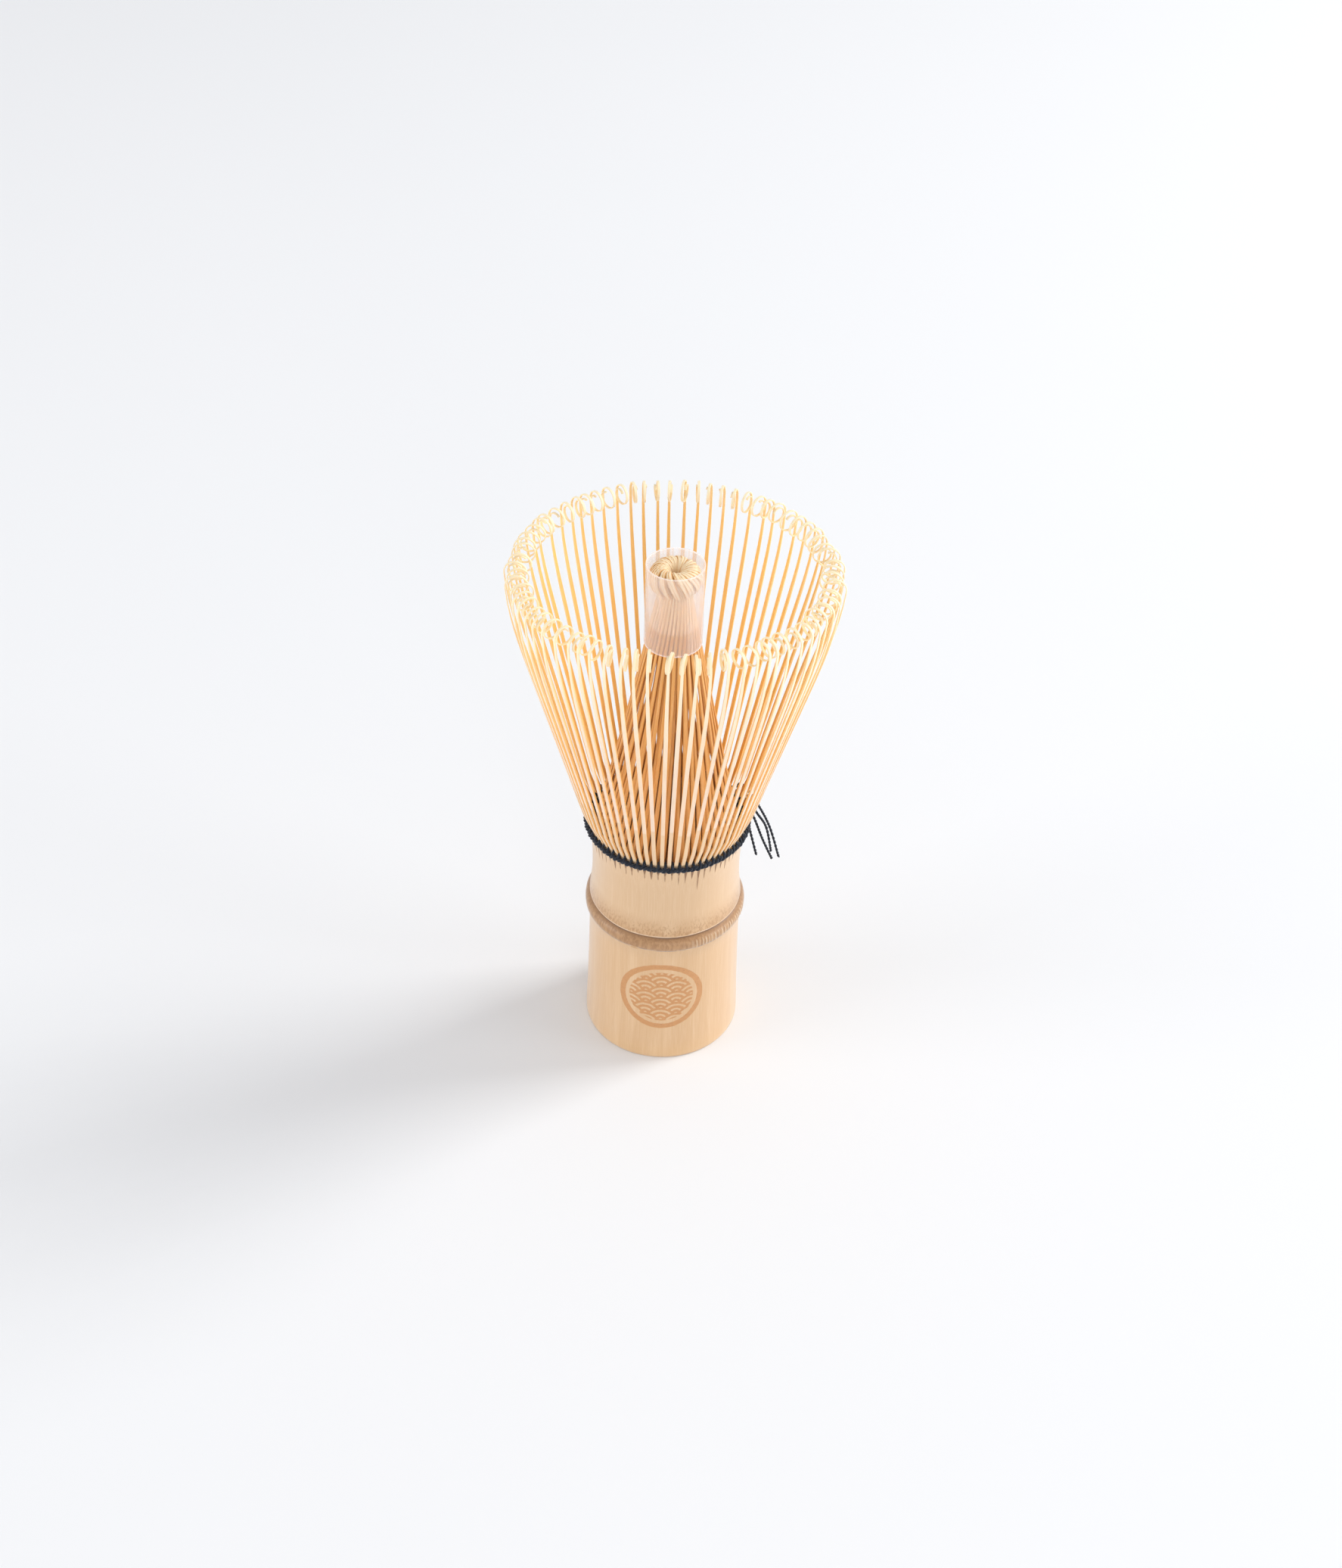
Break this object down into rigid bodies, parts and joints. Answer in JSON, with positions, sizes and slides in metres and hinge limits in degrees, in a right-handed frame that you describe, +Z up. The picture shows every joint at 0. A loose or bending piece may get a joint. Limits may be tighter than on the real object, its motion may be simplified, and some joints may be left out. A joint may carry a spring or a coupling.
{
  "type": "tea whisk",
  "caption": "Split bamboo tea whisk: culm handle with a node, laced crown of curled outer tines, inner tine bundle in a clear tip sleeve.",
  "frame": {"origin": "centre of the culm's hollow foot, on the face it stands on", "axes": "+Z up the culm's axis to the tines; +X and +Y are level and split the sections alike, the knot lies near +X"},
  "size_m": [0.0572, 0.0569, 0.1039],
  "materials": {
    "bamboo_culm": "dry bamboo skin, satin",
    "bamboo_outer": "split bamboo, satin skin face",
    "bamboo_inner": "split bamboo, matt",
    "thread": "twisted cotton thread, dark navy",
    "clear_sleeve": "thin translucent film"
  },
  "bodies": {
    "root": {"culm": "bamboo_culm", "outer_lacing": "thread", "inner_lacing": "thread", "lacing_crossings": "thread", "lacing_knot": "thread", "thread_end_1": "thread", "thread_end_2": "thread", "thread_end_3": "thread", "thread_end_4": "thread", "inner_tines_01": "bamboo_inner", "inner_tines_02": "bamboo_inner", "inner_tines_03": "bamboo_inner", "inner_tines_04": "bamboo_inner", "inner_tines_05": "bamboo_inner", "inner_tines_06": "bamboo_inner", "inner_tines_07": "bamboo_inner", "inner_tines_08": "bamboo_inner", "inner_tines_09": "bamboo_inner", "inner_tines_10": "bamboo_inner", "inner_tines_11": "bamboo_inner", "inner_tines_12": "bamboo_inner", "inner_tines_13": "bamboo_inner", "inner_tines_14": "bamboo_inner", "inner_tines_15": "bamboo_inner", "inner_tines_16": "bamboo_inner", "inner_tines_17": "bamboo_inner", "inner_tines_18": "bamboo_inner"},
    "sleeve": {"tip_sleeve": "clear_sleeve"},
    "crown_section_01": {"outer_tines_01": "bamboo_outer"},
    "crown_section_02": {"outer_tines_02": "bamboo_outer"},
    "crown_section_03": {"outer_tines_03": "bamboo_outer"},
    "crown_section_04": {"outer_tines_04": "bamboo_outer"},
    "crown_section_05": {"outer_tines_05": "bamboo_outer"},
    "crown_section_06": {"outer_tines_06": "bamboo_outer"},
    "crown_section_07": {"outer_tines_07": "bamboo_outer"},
    "crown_section_08": {"outer_tines_08": "bamboo_outer"},
    "crown_section_09": {"outer_tines_09": "bamboo_outer"},
    "crown_section_10": {"outer_tines_10": "bamboo_outer"},
    "crown_section_11": {"outer_tines_11": "bamboo_outer"},
    "crown_section_12": {"outer_tines_12": "bamboo_outer"},
    "crown_section_13": {"outer_tines_13": "bamboo_outer"},
    "crown_section_14": {"outer_tines_14": "bamboo_outer"},
    "crown_section_15": {"outer_tines_15": "bamboo_outer"},
    "crown_section_16": {"outer_tines_16": "bamboo_outer"},
    "crown_section_17": {"outer_tines_17": "bamboo_outer"},
    "crown_section_18": {"outer_tines_18": "bamboo_outer"}
  },
  "joints": [
    {"name": "sleeve_slide", "type": "slide", "parent": "root", "child": "sleeve", "axis": [0, 0, 1], "range_m": [0, 0.04]},
    {"name": "crown_flex_01", "type": "hinge", "parent": "root", "child": "crown_section_01", "pos_m": [0.014, 0.00247, 0.0481], "axis": [-0.1736, 0.9848, 0], "range_deg": [-1.5, 5], "stiffness_Nm_per_rad": 0.0037},
    {"name": "crown_flex_02", "type": "hinge", "parent": "root", "child": "crown_section_02", "pos_m": [0.01231, 0.00711, 0.0481], "axis": [-0.5, 0.866, 0], "range_deg": [-1.5, 5], "stiffness_Nm_per_rad": 0.0037},
    {"name": "crown_flex_03", "type": "hinge", "parent": "root", "child": "crown_section_03", "pos_m": [0.00914, 0.01089, 0.0481], "axis": [-0.766, 0.6428, 0], "range_deg": [-1.5, 5], "stiffness_Nm_per_rad": 0.0037},
    {"name": "crown_flex_04", "type": "hinge", "parent": "root", "child": "crown_section_04", "pos_m": [0.00486, 0.01336, 0.0481], "axis": [-0.9397, 0.342, 0], "range_deg": [-1.5, 5], "stiffness_Nm_per_rad": 0.0037},
    {"name": "crown_flex_05", "type": "hinge", "parent": "root", "child": "crown_section_05", "pos_m": [0, 0.01422, 0.0481], "axis": [-1, 0, 0], "range_deg": [-1.5, 5], "stiffness_Nm_per_rad": 0.0037},
    {"name": "crown_flex_06", "type": "hinge", "parent": "root", "child": "crown_section_06", "pos_m": [-0.00486, 0.01336, 0.0481], "axis": [-0.9397, -0.342, 0], "range_deg": [-1.5, 5], "stiffness_Nm_per_rad": 0.0037},
    {"name": "crown_flex_07", "type": "hinge", "parent": "root", "child": "crown_section_07", "pos_m": [-0.00914, 0.01089, 0.0481], "axis": [-0.766, -0.6428, 0], "range_deg": [-1.5, 5], "stiffness_Nm_per_rad": 0.0037},
    {"name": "crown_flex_08", "type": "hinge", "parent": "root", "child": "crown_section_08", "pos_m": [-0.01231, 0.00711, 0.0481], "axis": [-0.5, -0.866, 0], "range_deg": [-1.5, 5], "stiffness_Nm_per_rad": 0.0037},
    {"name": "crown_flex_09", "type": "hinge", "parent": "root", "child": "crown_section_09", "pos_m": [-0.014, 0.00247, 0.0481], "axis": [-0.1736, -0.9848, 0], "range_deg": [-1.5, 5], "stiffness_Nm_per_rad": 0.0037},
    {"name": "crown_flex_10", "type": "hinge", "parent": "root", "child": "crown_section_10", "pos_m": [-0.014, -0.00247, 0.0481], "axis": [0.1736, -0.9848, 0], "range_deg": [-1.5, 5], "stiffness_Nm_per_rad": 0.0037},
    {"name": "crown_flex_11", "type": "hinge", "parent": "root", "child": "crown_section_11", "pos_m": [-0.01231, -0.00711, 0.0481], "axis": [0.5, -0.866, 0], "range_deg": [-1.5, 5], "stiffness_Nm_per_rad": 0.0037},
    {"name": "crown_flex_12", "type": "hinge", "parent": "root", "child": "crown_section_12", "pos_m": [-0.00914, -0.01089, 0.0481], "axis": [0.766, -0.6428, 0], "range_deg": [-1.5, 5], "stiffness_Nm_per_rad": 0.0037},
    {"name": "crown_flex_13", "type": "hinge", "parent": "root", "child": "crown_section_13", "pos_m": [-0.00486, -0.01336, 0.0481], "axis": [0.9397, -0.342, 0], "range_deg": [-1.5, 5], "stiffness_Nm_per_rad": 0.0037},
    {"name": "crown_flex_14", "type": "hinge", "parent": "root", "child": "crown_section_14", "pos_m": [0, -0.01422, 0.0481], "axis": [1, 0, 0], "range_deg": [-1.5, 5], "stiffness_Nm_per_rad": 0.0037},
    {"name": "crown_flex_15", "type": "hinge", "parent": "root", "child": "crown_section_15", "pos_m": [0.00486, -0.01336, 0.0481], "axis": [0.9397, 0.342, 0], "range_deg": [-1.5, 5], "stiffness_Nm_per_rad": 0.0037},
    {"name": "crown_flex_16", "type": "hinge", "parent": "root", "child": "crown_section_16", "pos_m": [0.00914, -0.01089, 0.0481], "axis": [0.766, 0.6428, 0], "range_deg": [-1.5, 5], "stiffness_Nm_per_rad": 0.0037},
    {"name": "crown_flex_17", "type": "hinge", "parent": "root", "child": "crown_section_17", "pos_m": [0.01231, -0.00711, 0.0481], "axis": [0.5, 0.866, 0], "range_deg": [-1.5, 5], "stiffness_Nm_per_rad": 0.0037},
    {"name": "crown_flex_18", "type": "hinge", "parent": "root", "child": "crown_section_18", "pos_m": [0.014, -0.00247, 0.0481], "axis": [0.1736, 0.9848, 0], "range_deg": [-1.5, 5], "stiffness_Nm_per_rad": 0.0037}
  ],
  "couplings": [
    {"joint": "crown_flex_02", "follows": "crown_flex_01", "ratio": 1},
    {"joint": "crown_flex_03", "follows": "crown_flex_01", "ratio": 1},
    {"joint": "crown_flex_04", "follows": "crown_flex_01", "ratio": 1},
    {"joint": "crown_flex_05", "follows": "crown_flex_01", "ratio": 1},
    {"joint": "crown_flex_06", "follows": "crown_flex_01", "ratio": 1},
    {"joint": "crown_flex_07", "follows": "crown_flex_01", "ratio": 1},
    {"joint": "crown_flex_08", "follows": "crown_flex_01", "ratio": 1},
    {"joint": "crown_flex_09", "follows": "crown_flex_01", "ratio": 1},
    {"joint": "crown_flex_10", "follows": "crown_flex_01", "ratio": 1},
    {"joint": "crown_flex_11", "follows": "crown_flex_01", "ratio": 1},
    {"joint": "crown_flex_12", "follows": "crown_flex_01", "ratio": 1},
    {"joint": "crown_flex_13", "follows": "crown_flex_01", "ratio": 1},
    {"joint": "crown_flex_14", "follows": "crown_flex_01", "ratio": 1},
    {"joint": "crown_flex_15", "follows": "crown_flex_01", "ratio": 1},
    {"joint": "crown_flex_16", "follows": "crown_flex_01", "ratio": 1},
    {"joint": "crown_flex_17", "follows": "crown_flex_01", "ratio": 1},
    {"joint": "crown_flex_18", "follows": "crown_flex_01", "ratio": 1}
  ]
}
